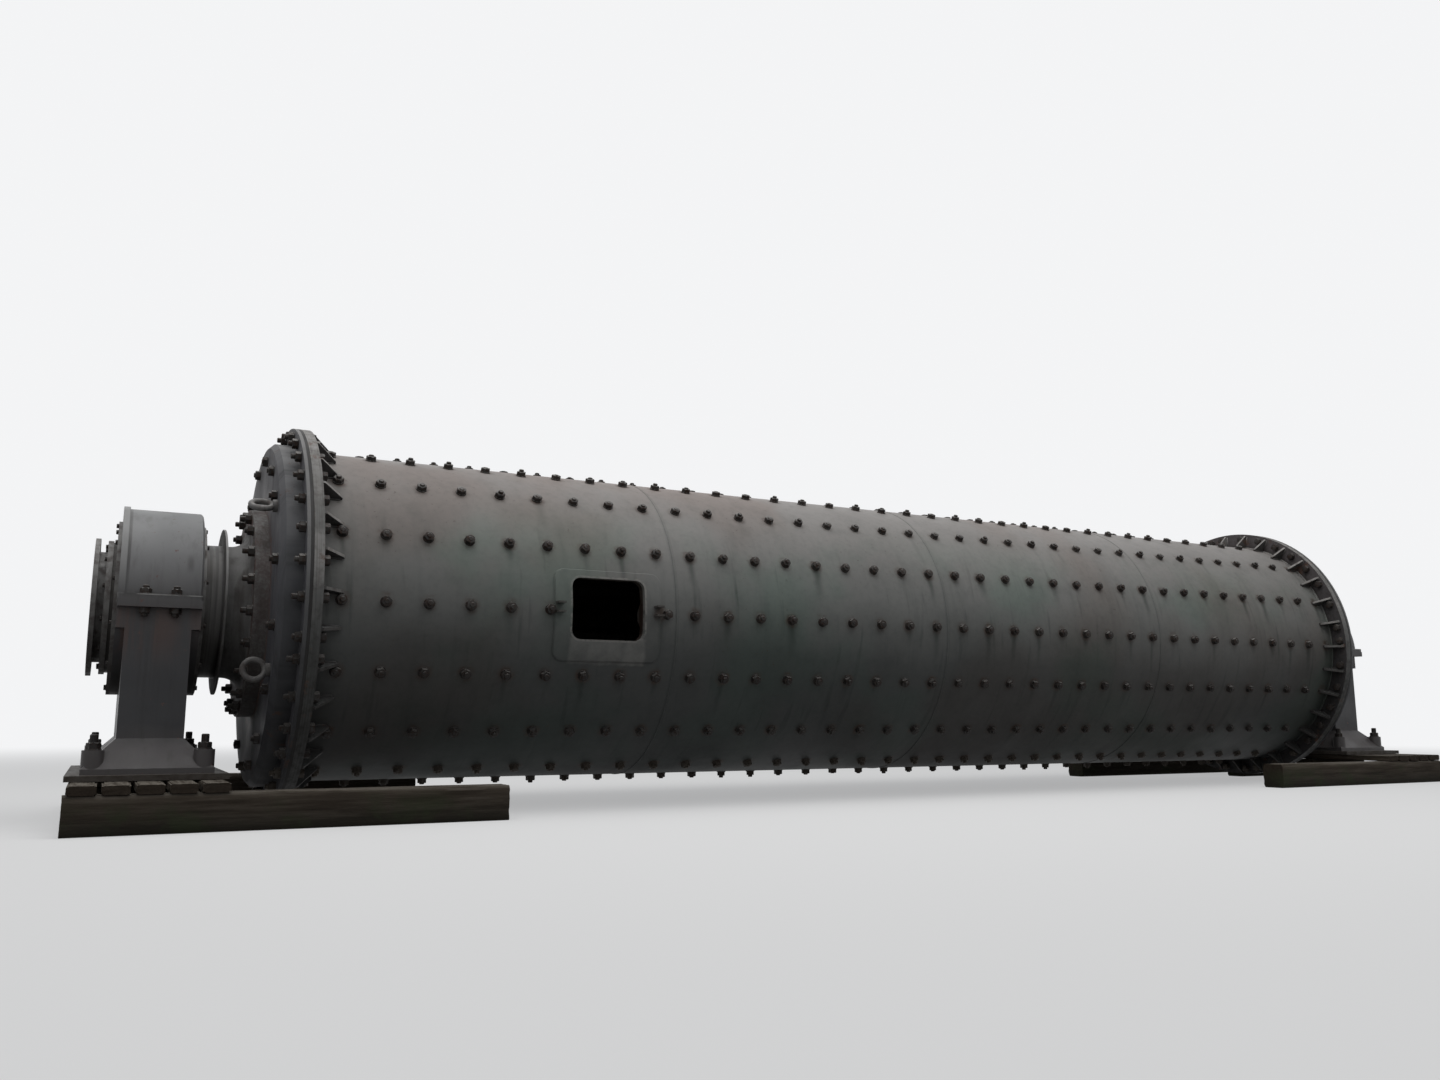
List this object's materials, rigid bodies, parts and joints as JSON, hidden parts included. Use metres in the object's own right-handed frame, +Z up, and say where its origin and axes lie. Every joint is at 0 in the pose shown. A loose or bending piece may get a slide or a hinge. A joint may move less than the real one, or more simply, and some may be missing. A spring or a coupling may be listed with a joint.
{
  "type": "ball mill",
  "caption": "Long steel grinding drum with bolted liners, an open manhole and flanged heads, turning on two trunnion bearings set on timber sleepers.",
  "frame": {"origin": "centre of the footprint on the ground, under the middle of the drum", "axes": "+X along the drum's axis towards its right end as pictured, +Y away from the camera, +Z up"},
  "size_m": [11.34, 2.5, 2.43],
  "materials": {
    "shell_paint": "weathered grey primer, darker low down, with runs under the bolts",
    "flange_paint": "worn light grey paint, dirty between the gussets",
    "liner_iron": "dark cast liner plates, scoured on the wave crests",
    "head_paint": "weathered grey paint on a casting, rusty round the trunnion",
    "trunnion_iron": "light grey paint over red primer, rusty round the bolts, journal bare",
    "bearing_paint": "smooth grey paint, chipped, dirtier towards the foot",
    "bush_metal": "machined bearing metal under an oil film",
    "plain_steel": "greyed steel with light rust",
    "timber": "weathered timber, damp near the ground"
  },
  "bodies": {
    "supports": {"bearing_cap_left": "bearing_paint", "bearing_cap_right": "bearing_paint", "bearing_bush_left": "bush_metal", "bearing_bush_right": "bush_metal", "bearing_pedestal_left": "bearing_paint", "bearing_pedestal_right": "bearing_paint", "seal_rings_left": "plain_steel", "seal_rings_right": "plain_steel", "sole_plate_left": "plain_steel", "sole_plate_right": "plain_steel", "cross_sleepers_left": "timber", "cross_sleepers_right": "timber", "ground_timbers_left": "timber", "ground_timbers_right": "timber"},
    "drum": {"shell_course_1": "shell_paint", "shell_course_2": "shell_paint", "shell_course_3": "shell_paint", "shell_course_4": "shell_paint", "shell_flange_left": "flange_paint", "shell_flange_right": "flange_paint", "gussets_left": "flange_paint", "gussets_right": "flange_paint", "manhole_frame": "shell_paint", "far_manhole_frame": "shell_paint", "far_manhole_cover": "shell_paint", "shell_liner": "liner_iron", "head_left": "head_paint", "head_right": "head_paint", "lifting_eyes_left": "plain_steel", "lifting_eyes_right": "plain_steel", "trunnion_left": "trunnion_iron", "trunnion_right": "trunnion_iron", "trunnion_sleeve_left": "plain_steel", "trunnion_sleeve_right": "plain_steel"}
  },
  "joints": [
    {"name": "drum_spin", "type": "hinge", "parent": "supports", "child": "drum", "pos_m": [0, 0, 1.24], "axis": [1, 0, 0], "continuous": true}
  ]
}
